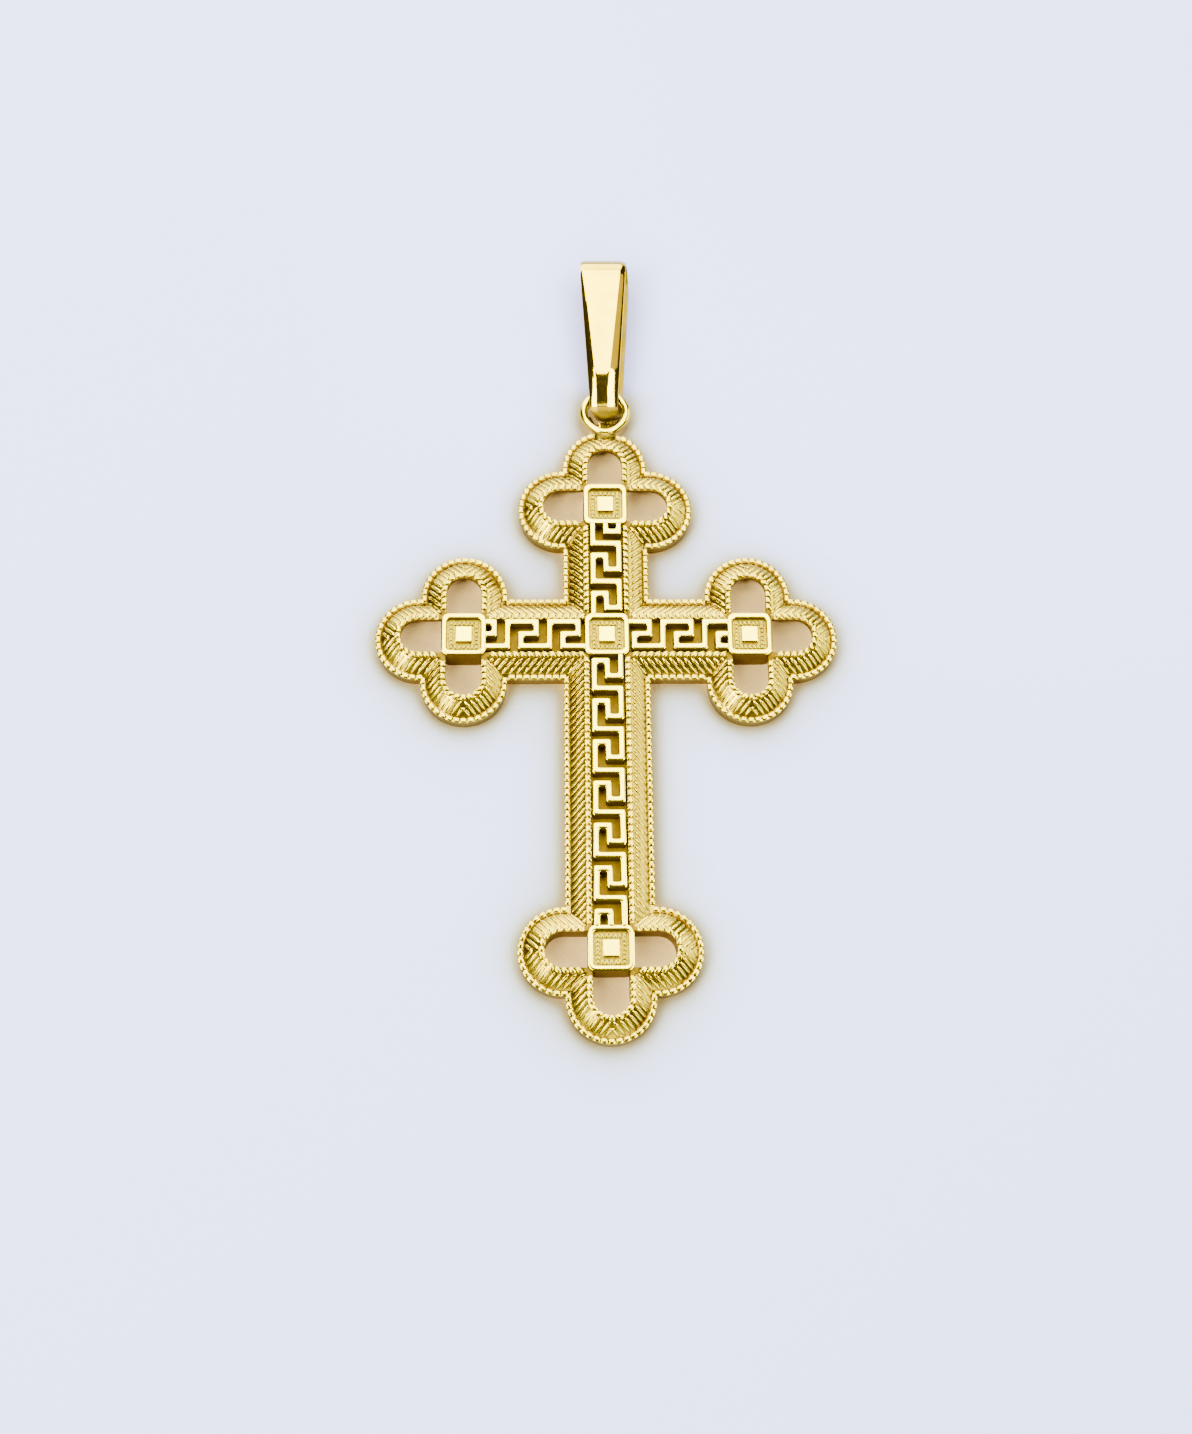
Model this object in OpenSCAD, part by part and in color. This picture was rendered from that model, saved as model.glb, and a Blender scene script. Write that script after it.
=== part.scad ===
// Budded cross pendant with a key fret, lying on its back.
// The cast cross and its soldered ring are one piece. A loose tapered bail runs through the ring.
// +Z is the front, +Y runs up the cross, and the back rests on z = 0: its rim and the bosses
// reach down to it, and between them the back is hollow.
// It is built around the middle boss, then shifted so that the origin is under the middle
// of the whole length.

/* [Cross plan] */
// From the middle boss to the centre of each side boss and of the top boss
side_reach = 8.8; // [8:0.1:11]
// From the middle boss to the centre of the lower boss
foot_reach = 19.65; // [14:0.05:24]
// From a boss to the centre of the round end of each lobe
lobe_reach = 2.81; // [2.7:0.01:3.2]
// Half width of the arms, and outer radius of the lobes
band_outer = 2.66; // [2.5:0.01:2.7]

/* [Heights] */
// Top of the key fret and of the bosses above the back
key_top = 1.8; // [1.7:0.05:2.2]
// Floor of the slots in the key fret
slot_floor = 0.95; // [0.9:0.05:1.2]
// Floor of the narrow groove on both sides of the key fret
groove_floor = 1.35; // [1.25:0.05:1.5]
// Crest of the beaded lip beside the openings
inner_lip_top = 1.66; // [1.62:0.01:1.7]
// Crest of the beaded lip along the outline
outer_lip_top = 0.95; // [0.9:0.01:1.1]
// Depth of the hollow in the back
hollow_depth = 0.65; // [0.3:0.05:0.65]
// Width of the rim that is left around the hollow
rim_w = 0.46; // [0.4:0.02:0.6]
// Height of the hollow's ceiling beside the openings, where the metal is thin
edge_floor = 1.15; // [1:0.05:1.2]

/* [Key fret] */
// Width of the raised line
key_line = 0.35; // [0.3:0.01:0.36]
// Width of the slots between the lines
key_slot = 0.46; // [0.4:0.01:0.47]
// Length of one repeat along the short arms
short_pitch = 2.58; // [2.4:0.01:2.8]
// Length of one repeat along the lower arm
long_pitch = 2.62; // [2.4:0.01:2.8]

/* [Bosses] */
// Width of a boss over its square rim
boss_w = 2.74; // [2.6:0.02:2.8]
// Width of the sunk field inside the rim
field_w = 2.1; // [1.8:0.05:2.2]
// Width of the raised square in the middle of the field
stud_w = 1; // [0.6:0.05:1.2]
// Depth of the sunk field
field_depth = 0.32; // [0.15:0.01:0.4]

/* [Ring] */
// Radius of the soldered ring to the middle of its wire
ring_r = 1.38; // [1.3:0.01:1.5]
// Radius of the wire
ring_wire = 0.29; // [0.2:0.01:0.29]
// How far the ring sits to the right of the middle
ring_x = 0.085; // [-0.1:0.005:0.1]
// Height of the middle of the wire above the back
ring_z = 0.88; // [0.87:0.01:0.95]

/* [Bail] */
// Width of the ribbon at its top bend
bail_top_w = 2.96; // [2.2:0.02:3]
// Width of the ribbon where it runs through the ring
bail_foot_w = 1.8; // [1.2:0.02:1.8]
// Thickness of the ribbon
bail_t = 0.34; // [0.25:0.01:0.36]
// Outer radius of the top bend, seen from the side
bail_top_r = 1.5; // [1.2:0.05:1.7]
// Outer radius of the foot bend, seen from the side
bail_foot_r = 0.86; // [0.84:0.01:0.86]
// Distance between the centres of the two bends
bail_l = 8.85; // [7:0.05:10]
// How far each leg is shifted sideways, the front one left and the back one right
bail_skew = 0.14; // [0:0.01:0.22]
// How far the bail lies to the right of the ring's middle
bail_aside = 0.07; // [-0.1:0.01:0.1]

/* [Hidden] */
$fn = 64;
eps = 0.01;
gold = [0.93, 0.76, 0.36];
bright_gold = [0.98, 0.85, 0.5];

half_boss = boss_w / 2;
boss_round = 0.35;
field_round = 0.2;
slot_round = 0.13;
foot_narrowing = 0.4;
strip_half = (3 * key_line + 2 * key_slot) / 2;
slot_out = 0.04;
groove_out = strip_half + 0.075;
window_half = groove_out + 0.02;
edge_half = window_half + 0.37;
lip_w = 0.33;
lip_edge = 0.08;
solder_r = 0.38;
lobe_top = side_reach + lobe_reach + band_outer;
ring_y = lobe_top + ring_r - 0.02;

// Ends of the whole length, and its middle
bail_taper = asin((bail_top_r - bail_foot_r) / bail_l);
bail_y = ring_y + 0.34;
bail_end = bail_y + bail_l * cos(bail_taper) + bail_top_r;
foot_end = -(foot_reach + lobe_reach + band_outer);
middle_y = (foot_end + bail_end) / 2;

// Section of the sloping band: distance from the middle line, then height
lip_in = groove_out + lip_w;
lip_out = band_outer - lip_w;
band_side = [
    [groove_out, groove_floor],
    [groove_out, inner_lip_top - lip_edge],
    [groove_out + lip_edge, inner_lip_top],
    [lip_in - lip_edge, inner_lip_top],
    [lip_in, inner_lip_top - 0.15],
    [(lip_in + lip_out) / 2, inner_lip_top - 0.37],
    [lip_out, outer_lip_top - 0.06],
    [lip_out + lip_edge, outer_lip_top],
    [band_outer - lip_edge, outer_lip_top],
    [band_outer, outer_lip_top - lip_edge],
    [band_outer, 0],
];

// Columns of the table of arms
ARM_TURN = 0;
ARM_FROM = 1;
ARM_TO = 2;
ARM_START = 3;
ARM_PITCH = 4;
// Each fret runs down the sheet, or to the right where it is turned, from one boss to the next
arms = [
    // turn, from, to, start of the first repeat, pitch
    [0, half_boss - side_reach, -half_boss, 0.32 - side_reach, short_pitch],
    [0, half_boss, foot_reach - half_boss, 1.13, long_pitch],
    [90, half_boss - side_reach, -half_boss, 0.28 - side_reach, short_pitch],
    [90, half_boss, side_reach - half_boss, 1.04, short_pitch],
];

function mirrored(pts) = [for (i = [len(pts) - 1:-1:0]) [-pts[i][0], pts[i][1]]];

// Places its children once for each direction in the list
module around(angles) {
    for (a = angles)
        rotate([0, 0, a])
            children();
}

// Moves its children to an end boss, turned so that +Y points away from the middle boss
module upper_ends() {
    around([0, 90, 270])
        translate([0, side_reach, 0])
            children();
}

module lower_end() {
    rotate([0, 0, 180])
        translate([0, foot_reach, 0])
            children();
}

module each_end() {
    upper_ends() children();
    lower_end() children();
}

module each_boss() {
    children();
    each_end() children();
}

// Square with rounded corners
module soft_square(width, round_r) {
    half = width / 2 - round_r;
    corners = [[half, half], [-half, half], [-half, -half], [half, -half]];
    polygon([for (c = [0:3]) for (a = [0:18:90])
        corners[c] + round_r * [cos(a + 90 * c), sin(a + 90 * c)]]);
}

// Straight stretch of the band along +Y, with its middle filled up to the groove floor
module band_run(length) {
    rotate([90, 0, 180])
        linear_extrude(length)
            polygon(concat(band_side, mirrored(band_side)));
}

// Lobe that points up from a boss: a straight stretch and a round end
module lobe() {
    band_run(lobe_reach);
    translate([0, lobe_reach, 0])
        rotate_extrude(angle = 180)
            polygon(concat([[0, 0], [0, groove_floor]], band_side));
}

// Opening of a lobe: straight sides from the boss and a round end
module window() {
    translate([0, 0, -1])
        linear_extrude(key_top + 2)
            polygon(concat(
                [[-window_half, half_boss], [window_half, half_boss]],
                [for (a = [0:7.5:180]) [window_half * cos(a), lobe_reach + window_half * sin(a)]]));
}

// Sloping band with its lips, along the arms and around the lobes
module band() {
    around([0, 90, 270]) band_run(side_reach);
    rotate([0, 0, 180]) band_run(foot_reach);
    each_end() around([-90, 0, 90]) lobe();
}

// Flat strips that carry the key fret
module key_strips() {
    linear_extrude(key_top) {
        translate([-strip_half, -foot_reach])
            square([2 * strip_half, foot_reach + side_reach]);
        translate([-side_reach, -strip_half])
            square([2 * side_reach, 2 * strip_half]);
    }
}

// Outline of square corners with each of them rounded, but for those of its first and last point
function softened(pts, r) = [
    for (i = [0:len(pts) - 1])
        let (
            inner = i > 0 && i < len(pts) - 1,
            from = inner ? (pts[i - 1] - pts[i]) / norm(pts[i - 1] - pts[i]) : [0, 0],
            to = inner ? (pts[i + 1] - pts[i]) / norm(pts[i + 1] - pts[i]) : [0, 0])
        for (a = inner ? [0:30:90] : [0])
            pts[i] + r * ((1 - sin(a)) * from + (1 - cos(a)) * to)
];

// One repeat of the slots, running down from y = 0: one opens to the left, the next to the right
module key_cell(pitch) {
    side = strip_half + slot_out;
    inner = strip_half - key_line;
    leg_end = pitch - 2 * key_line - key_slot;
    foot_start = pitch - key_line - key_slot;
    foot_low = pitch - key_line;
    polygon(softened([
        [-side, 0], [inner, 0], [inner, -leg_end],
        [inner - key_slot, -leg_end], [inner - key_slot, -key_slot], [-side, -key_slot],
    ], slot_round));
    polygon(softened([
        [side, -foot_low], [-inner, -foot_low],
        [-inner, -key_slot - key_line], [key_slot - inner, -key_slot - key_line],
        [key_slot - inner, -foot_start], [side, -foot_start],
    ], slot_round));
}

// Slots of one arm's fret, stopped at the bosses
module key_slots(arm) {
    run = arm[ARM_TO] - arm[ARM_FROM];
    count = ceil(run / arm[ARM_PITCH]) + 1;
    rotate([0, 0, arm[ARM_TURN]])
        intersection() {
            translate([-2 * strip_half, eps - arm[ARM_TO]])
                square([4 * strip_half, run - 2 * eps]);
            for (i = [0:count - 1])
                translate([0, -arm[ARM_START] - i * arm[ARM_PITCH]])
                    key_cell(arm[ARM_PITCH]);
        }
}

module boss() {
    linear_extrude(key_top)
        soft_square(boss_w, boss_round);
}

// Sunk field of a boss around its raised square
module boss_field() {
    translate([0, 0, key_top - field_depth])
        linear_extrude(field_depth + 1)
            difference() {
                soft_square(field_w, field_round);
                square(stud_w, center = true);
            }
}

// Plan of one lobe, as wide as two half widths
module lobe_plan(half_w) {
    polygon(concat(
        [[-half_w, 0], [half_w, 0]],
        [for (a = [0:7.5:180]) [half_w * cos(a), lobe_reach + half_w * sin(a)]]));
}

// Hollow of the back, between its rim, the bosses and the full walls of the lower openings
module back_hollow() {
    half_w = band_outer - rim_w;
    translate([0, 0, -1])
        linear_extrude(hollow_depth + 1)
            difference() {
                union() {
                    translate([-half_w, -foot_reach])
                        square([2 * half_w, foot_reach + side_reach]);
                    translate([-side_reach, -half_w])
                        square([2 * side_reach, 2 * half_w]);
                    each_end() around([-90, 0, 90]) lobe_plan(half_w);
                }
                each_boss() soft_square(boss_w, boss_round);
                lower_end() around([-90, 0, 90]) lobe_plan(window_half + rim_w);
            }
}

// Deeper part of the hollow around an upper lobe's opening
module edge_hollow() {
    translate([0, 0, -1])
        linear_extrude(edge_floor + 1)
            polygon(concat(
                [[-edge_half, half_boss], [edge_half, half_boss]],
                [for (a = [0:7.5:180]) [edge_half * cos(a), lobe_reach + edge_half * sin(a)]]));
}

// Ring with the solder that joins it to the top lobe
module ring() {
    solder_from = lobe_top - band_outer + window_half + lip_w;
    translate([ring_x, ring_y, ring_z])
        rotate_extrude()
            translate([ring_r, 0])
                circle(ring_wire);
    translate([ring_x, solder_from, outer_lip_top - 0.2])
        rotate([-90, 0, 0])
            cylinder(h = ring_y - ring_r - solder_from, r = solder_r);
}

module cross() {
    color(gold)
        translate([0, -middle_y, 0])
            difference() {
                union() {
                    difference() {
                        union() {
                            band();
                            key_strips();
                        }
                        each_end() around([-90, 0, 90]) window();
                    }
                    each_boss() boss();
                    ring();
                }
                translate([0, 0, slot_floor])
                    linear_extrude(key_top)
                        for (arm = arms)
                            key_slots(arm);
                each_boss() boss_field();
                back_hollow();
                upper_ends() around([-90, 0, 90]) edge_hollow();
            }
}

// Columns of the table of the ribbon's ends
END_AT = 0;
END_R = 1;
END_W = 2;
END_LEFT = 3;
END_RIGHT = 4;
END_LEFT_DROP = 5;
END_RIGHT_DROP = 6;
FOOT = 0;
TOP = 1;
ribbon_ends = [
    // centre along the bail, outer radius, width, widths of the left and right bevels, their depths
    [0, bail_foot_r, bail_foot_w, 0.28 * bail_foot_w, 0.43 * bail_foot_w, 0.24, 0.24],
    [bail_l, bail_top_r, bail_top_w, 0.1 * bail_top_w, 0.13 * bail_top_w, 0.06, 0.1],
];

// Stops along the closed ribbon: share of the way from foot to top, then direction of its outside
leg_parts = 4;
front = 90 + bail_taper;
back = -front;
ribbon_stops = concat(
    [for (i = [0:14]) [1, front + (back - front) * i / 14]],
    [for (i = [1:leg_parts - 1]) [1 - i / leg_parts, back]],
    [for (i = [0:12]) [0, back - (180 - 2 * bail_taper) * i / 12]],
    [for (i = [1:leg_parts - 1]) [i / leg_parts, front - 360]]);

function part_way(column, share) =
    ribbon_ends[FOOT][column] + share * (ribbon_ends[TOP][column] - ribbon_ends[FOOT][column]);

// Six corners of the ribbon's section at one stop
function ribbon_section(stop) =
    let (
        share = stop[0],
        out = [cos(stop[1]), sin(stop[1])],
        outer_r = part_way(END_R, share),
        half_w = part_way(END_W, share) / 2,
        narrowed = 1 - foot_narrowing * (1 - share) * pow(max(0, -out[0]), 6),
        left_drop = part_way(END_LEFT_DROP, share),
        right_drop = part_way(END_RIGHT_DROP, share),
        middle_x = -bail_skew * out[1],
        corners = [
            [-half_w, -bail_t],
            [-half_w, -left_drop],
            [part_way(END_LEFT, share) - half_w, 0],
            [half_w - part_way(END_RIGHT, share), 0],
            [half_w, -right_drop],
            [half_w, -bail_t],
        ])
    [for (c = corners) [
        middle_x + narrowed * c[0],
        part_way(END_AT, share) + (outer_r + c[1]) * out[0],
        (outer_r + c[1]) * out[1],
    ]];

module bail() {
    sides = 6;
    stops = len(ribbon_stops);
    corner = function (stop, side) (stop % stops) * sides + side % sides;
    color(bright_gold)
        translate([ring_x + bail_aside, bail_y - middle_y, ring_z])
            rotate([bail_taper, 0, 0])
                polyhedron(
                    points = [for (stop = ribbon_stops) for (p = ribbon_section(stop)) p],
                    faces = [for (i = [0:stops - 1]) for (j = [0:sides - 1]) for (half = [0, 1])
                        half == 0
                            ? [corner(i, j), corner(i + 1, j + 1), corner(i, j + 1)]
                            : [corner(i, j), corner(i + 1, j), corner(i + 1, j + 1)]]);
}

cross();
bail();
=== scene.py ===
"""Budded cross pendant with a key fret, lying on pale paper.

Every piece is modelled in millimetres around the middle boss, with +Y up the cross and z = 0
at its back, and is then moved onto the frame and scaled to metres.
"""

import math
import random

import bmesh
import bpy
from mathutils import Matrix, Vector


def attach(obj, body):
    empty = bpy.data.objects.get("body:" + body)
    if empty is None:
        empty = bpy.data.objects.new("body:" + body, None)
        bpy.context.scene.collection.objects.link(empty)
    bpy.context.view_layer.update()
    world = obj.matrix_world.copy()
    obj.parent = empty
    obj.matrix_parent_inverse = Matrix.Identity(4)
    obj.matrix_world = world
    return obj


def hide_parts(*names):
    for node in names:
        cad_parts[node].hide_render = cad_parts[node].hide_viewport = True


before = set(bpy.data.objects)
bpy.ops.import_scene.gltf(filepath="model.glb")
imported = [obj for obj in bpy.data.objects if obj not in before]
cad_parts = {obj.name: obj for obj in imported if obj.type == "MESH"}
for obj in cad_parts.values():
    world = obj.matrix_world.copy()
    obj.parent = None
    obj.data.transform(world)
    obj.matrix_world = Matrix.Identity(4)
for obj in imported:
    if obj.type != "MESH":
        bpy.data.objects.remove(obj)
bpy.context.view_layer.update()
chance = random.Random(7)

# Sizes in millimetres, the same as in the CAD source but for the bosses' rounder corners
MIDDLE_Y = 0.5884  # the middle boss above the middle of the whole length
SIDE_REACH = 8.8
FOOT_REACH = 19.65
LOBE_REACH = 2.81
BAND_OUTER = 2.66
BOSS_HALF = 1.37
BOSS_ROUND = 0.48
KEY_TOP = 1.8
SLOT_FLOOR = 0.95
STRIP_HALF = 0.985
LINE_W = 0.35
SLOT_W = 0.46
LINE_END = 0.12  # how far the fret runs into its bosses
LINE_ROUNDS = ((0.17, True), (0.1, False))  # radius of its outer, then its inner corners
FLOOR_HALF = 1.03  # half width of the floor under the fret
HOLLOW = 0.65  # ceiling of the hollow in the back
EDGE_FLOOR = 1.15  # higher ceiling beside the openings of the upper ends
RIM_W = 0.46
WINDOW_HALF = 1.08  # half width of the openings
GROOVE_OUT = 1.4  # outer side of the groove and lip beside the fret
FIELD_HALF, FIELD_ROUND, FIELD_DEPTH = 1.05, 0.2, 0.3
RING_R, RING_WIRE = 1.38, 0.29
RING_AT = Vector((0.085, 15.63, 0.88))
BAIL_AT = Vector((0.155, 15.97, 0.88))
BEAD_PITCH = 0.45
CORNER_GAP = 0.1
BOSS_CLEAR = BOSS_HALF + 2 * CORNER_GAP

# Slope of the border under its beads and ridges: distance from the middle line, then height
SLOPE = [
    (1.12, 1.5),
    (1.36, 1.47),
    (1.44, 1.41),
    (1.86, 1.21),
    (2.28, 0.86),
    (2.37, 0.8),
    (2.6, 0.8),
    (2.645, 0.755),
]
BACK = [(2.645, 0.03), (2.615, 0), (BAND_OUTER - RIM_W, 0), (BAND_OUTER - RIM_W, HOLLOW)]
THIN_WALL = [(1.45, HOLLOW), (1.45, EDGE_FLOOR), (WINDOW_HALF, EDGE_FLOOR), (WINDOW_HALF, 1.46)]
FULL_WALL = [(1.54, HOLLOW), (1.54, 0), (WINDOW_HALF, 0), (WINDOW_HALF, 1.46)]
SLAB_WALL = [(FLOOR_HALF, SLOT_FLOOR), (1.07, 1.46)]

# Arms of the cross: turn from +Y, reach to the end boss, place of the first inner bead
ARMS = [
    (0, SIDE_REACH, 0.0),
    (90, SIDE_REACH, 0.19),
    (180, FOOT_REACH, 0.27),
    (270, SIDE_REACH, 0.4),
]
LOWER_ARM = 2

# Frets: turn, start and end along the arm, start of the first repeat, pitch
SIDE_END = SIDE_REACH - BOSS_HALF
FRETS = [
    (0, -SIDE_END, -BOSS_HALF, -8.48, 2.58),
    (0, BOSS_HALF, FOOT_REACH - BOSS_HALF, 1.13, 2.62),
    (90, -SIDE_END, -BOSS_HALF, -8.52, 2.58),
    (90, BOSS_HALF, SIDE_END, 1.04, 2.58),
]

# Rows of beads: distance from the middle line and height, then a bead's width, length, height
# and slant
INNER_ROW = (1.25, 1.49, 0.36, 0.35, 0.34, 0.5)
OUTER_ROW = (2.505, 0.8, 0.31, 0.42, 0.3, 0.0)

# Ridges: where they start and end on the slope, their width and height
RIDGE_FROM, RIDGE_TO = 1.46, 2.29
RIDGE_W, RIDGE_HEIGHT = 0.21, 0.1

# Grains in the field of a boss: how many on a side, how far from the middle, how far apart
GRAINS, GRAINS_OUT, GRAINS_APART = 6, 0.78, 0.262

# Solder on the top lobe: half width of the place where it takes the room of the outer beads
SOLDER_HALF = 0.66

# Bail: distance between its bends, thickness, sideways shift of its legs
BAIL_LENGTH, BAIL_T, BAIL_SKEW = 8.85, 0.34, 0.14
BAIL_TAPER = math.asin((1.5 - 0.86) / BAIL_LENGTH)
# At the foot and at the top: outer radius, width, widths of the left and right bevels, their depths
BAIL_FOOT = (0.86, 1.8, 0.51, 0.77, 0.24, 0.212)
BAIL_TOP = (1.49, 2.95, 0.296, 0.385, 0.03, 0.106)
# Just above the foot bend: widths of the bevels, their depths, depth of the crown's edges
BAIL_NECK = (0.3, 0.52, 0.11, 0.144, 0.045)
NECK_FROM, NECK_RUN = 0.2, 0.16
FOOT_NARROWING = 0.4

# Camera of the photograph: tilt, yaw and roll, the point that it looks at, distance and lens
CAMERA_TURNS = (19.427, 1.613, 0.664)
CAMERA_AIM = Vector((-0.738, -5.419 - MIDDLE_Y, KEY_TOP))
CAMERA_WAY, CAMERA_LENS = 121.723, 50.54

# Softboxes: place, size, power and colour
COOL, GOLDEN = (0.86, 0.88, 1.0), (1.0, 0.85, 0.6)
SOFTBOXES = {
    "overhead": ((0, 137, 269), (200, 215), 4.0, COOL),
    "west_wing": ((-130, -30, 270), (190, 80), 2.0, COOL),
    "east_wing": ((130, -30, 270), (190, 80), 2.0, COOL),
    "north_wall": ((-70, 380, 170), (520, 290), 9.3, COOL),
    "east_wall": ((380, 120, 140), (300, 200), 2.2, COOL),
    "south_wall": ((50, -380, 120), (500, 160), 2.7, COOL),
    "east_panel": ((172, 100, 270), (90, 110), 0.07, GOLDEN),
    "west_window": ((-190, -70, 225), (180, 70), 1.8, COOL),
    "corner_lamp": ((-183, -144, 192), (90, 90), 1.0, COOL),
}


# Shader helpers
class Value:
    """A socket that takes part in sums and products."""

    def __init__(self, finish, socket):
        self.finish = finish
        self.socket = socket

    def math(self, operation, *others):
        return self.finish.node("ShaderNodeMath", {"operation": operation}, [self, *others])

    def __add__(self, other):
        return self.math("ADD", other)

    def __radd__(self, other):
        return self.math("ADD", other)

    def __mul__(self, other):
        return self.math("MULTIPLY", other)

    def __rmul__(self, other):
        return self.math("MULTIPLY", other)

    def between(self, low, high):
        """0 below low, 1 above high, and a soft step from one to the other."""
        return self.finish.node(
            "ShaderNodeMapRange",
            {"interpolation_type": "SMOOTHSTEP"},
            {"Value": self, "From Min": low, "From Max": high},
        )


class Finish:
    """One material, whose nodes all come from node()."""

    def __init__(self, name):
        self.material = bpy.data.materials.new(name)
        self.material.use_nodes = True
        self.tree = self.material.node_tree
        self.tree.nodes.clear()

    def node(self, kind, settings=None, inputs=None, output=0):
        """Adds a node with its settings and its inputs, and returns one of its outputs."""
        made = self.tree.nodes.new(kind)
        for key, value in (settings or {}).items():
            if key == "stops":
                ramp = made.color_ramp.elements
                ramp[0].position, ramp[0].color = value[0]
                ramp[1].position, ramp[1].color = value[-1]
                for place, colour in value[1:-1]:
                    ramp.new(place).color = colour
            else:
                setattr(made, key, value)
        pairs = enumerate(inputs) if isinstance(inputs, list) else (inputs or {}).items()
        for key, value in pairs:
            if isinstance(value, Value):
                self.tree.links.new(value.socket, made.inputs[key])
            else:
                made.inputs[key].default_value = value
        return Value(self, made.outputs[output]) if made.outputs else None

    def place(self, scale=(1, 1, 1)):
        """Object coordinates in millimetres, stretched by scale."""
        spot = self.node("ShaderNodeTexCoord", output=3)
        size = tuple(1000 * part for part in scale)
        return self.node("ShaderNodeMapping", None, {"Vector": spot, "Scale": size})

    def noise(self, spot, scale, detail=2.0, roughness=0.5):
        values = {"Vector": spot, "Scale": scale, "Detail": detail, "Roughness": roughness}
        return self.node("ShaderNodeTexNoise", None, values)

    def mix(self, share, first, second):
        colours = {0: share, 6: first, 7: second}
        return self.node("ShaderNodeMix", {"data_type": "RGBA"}, colours, output=2)

    def bump(self, height, strength, distance):
        values = {"Height": height, "Strength": strength, "Distance": distance}
        return self.node("ShaderNodeBump", None, values)

    def close(self, inputs):
        shader = self.node("ShaderNodeBsdfPrincipled", None, inputs)
        self.node("ShaderNodeOutputMaterial", None, {"Surface": shader})
        return self.material


LEMON_GOLD = (0.5, 0.4, 0.007, 1.0)
WARM_GOLD = (0.48, 0.355, 0.003, 1.0)
DEEP_GOLD = (0.36, 0.25, 0.0015, 1.0)
BROWN_GOLD = (0.13, 0.08, 0.0015, 1.0)
DARK_GOLD = (0.1, 0.055, 0.001, 1.0)
FIELD_GOLD = (0.3, 0.22, 0.002, 1.0)

# Painted light and shade on the paper, by the share of open sky over it: a painted warm glow deep
# in the openings, painted gold-tinted shade right beside the gold, and clear paper
PAINTED_PAPER_LIGHT = [
    (0.08, (0.6, 0.36, 0.08, 1)),
    (0.15, (0.7, 0.43, 0.11, 1)),
    (0.25, (0.6, 0.38, 0.1, 1)),
    (0.31, (0.25, 0.16, 0.037, 1)),
    (0.37, (0.143, 0.088, 0.019, 1)),
    (0.55, (0.105, 0.07, 0.013, 1)),
    (0.65, (0.15, 0.115, 0.037, 1)),
    (0.73, (0.185, 0.165, 0.068, 1)),
    (0.8, (0.2, 0.195, 0.1, 1)),
    (0.87, (0.245, 0.255, 0.2, 1)),
    (0.93, (0.285, 0.3, 0.34, 1)),
    (0.99, (0.31, 0.33, 0.46, 1)),
]
BLUE_PAPER = (0.31, 0.32, 0.49, 1)
GREY_PAPER = (0.29, 0.325, 0.43, 1)


def polished_gold(name, rough=0.1, worn=0.05, bright=LEMON_GOLD, deep=WARM_GOLD):
    """Bright gold with soft clouds in its polish and fine hairline scratches."""
    gold = Finish(name)
    spot = gold.place()
    clouds = gold.noise(spot, 0.9, 3.0)
    hairs = gold.noise(gold.place((14.0, 1.2, 6.0)), 1.0, 4.0, 0.6)
    colour = gold.mix(clouds.between(0.3, 0.75), bright, deep)
    return gold.close(
        {
            "Base Color": colour,
            "Metallic": 1.0,
            "Roughness": rough + worn * clouds + 0.5 * worn * hairs,
            "Normal": gold.bump(hairs, 0.12, 0.000004),
        }
    )


def satin_gold(name):
    """Cast gold of the border: a fine grain, with painted shade that makes it browner low on the
    slope.
    """
    gold = Finish(name)
    spot = gold.place()
    grain = gold.noise(spot, 16.0, 3.0, 0.6)
    clouds = gold.noise(spot, 0.7, 2.0)
    height = gold.node("ShaderNodeSeparateXYZ", None, {0: spot}, output=2)
    # painted shade: browner towards the bottom of the slope and on the outer wall
    colour = gold.mix(0.2 + 0.4 * height.between(0.6, 1.4) + 0.5 * clouds, BROWN_GOLD, DEEP_GOLD)
    return gold.close(
        {
            "Base Color": colour,
            "Metallic": 1.0,
            "Roughness": 0.14 + 0.12 * grain,
            "Normal": gold.bump(grain, 0.25, 0.00001),
        }
    )


def grained_gold(name):
    """Matte field of a boss."""
    gold = Finish(name)
    spot = gold.place()
    grain = gold.node(
        "ShaderNodeTexVoronoi", {"feature": "SMOOTH_F1"}, {"Vector": spot, "Scale": 9.0}
    )
    fine = gold.noise(spot, 24.0, 2.0)
    colour = gold.mix(0.4 + 0.6 * grain.between(0.2, 0.7), FIELD_GOLD, BROWN_GOLD)
    return gold.close(
        {
            "Base Color": colour,
            "Metallic": 1.0,
            "Roughness": 0.34 + 0.15 * fine,
            "Normal": gold.bump(grain + 0.4 * fine, 0.4, 0.00003),
        }
    )


def recess_gold(name):
    """Unpolished gold in the slots and on recessed walls, darkened brown as painted shade, with
    faint random stain clouds.
    """
    gold = Finish(name)
    spot = gold.place()
    stain = gold.noise(spot, 1.1, 3.0, 0.6)
    grain = gold.noise(spot, 14.0, 2.0)
    # painted shade: dark brown gold, lifted a little by random stain clouds
    colour = gold.mix(0.12 * stain.between(0.35, 0.65), DARK_GOLD, DEEP_GOLD)
    return gold.close(
        {
            "Base Color": colour,
            "Metallic": 1.0,
            "Roughness": 0.5 + 0.2 * grain,
            "Normal": gold.bump(grain, 0.3, 0.00001),
        }
    )


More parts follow.
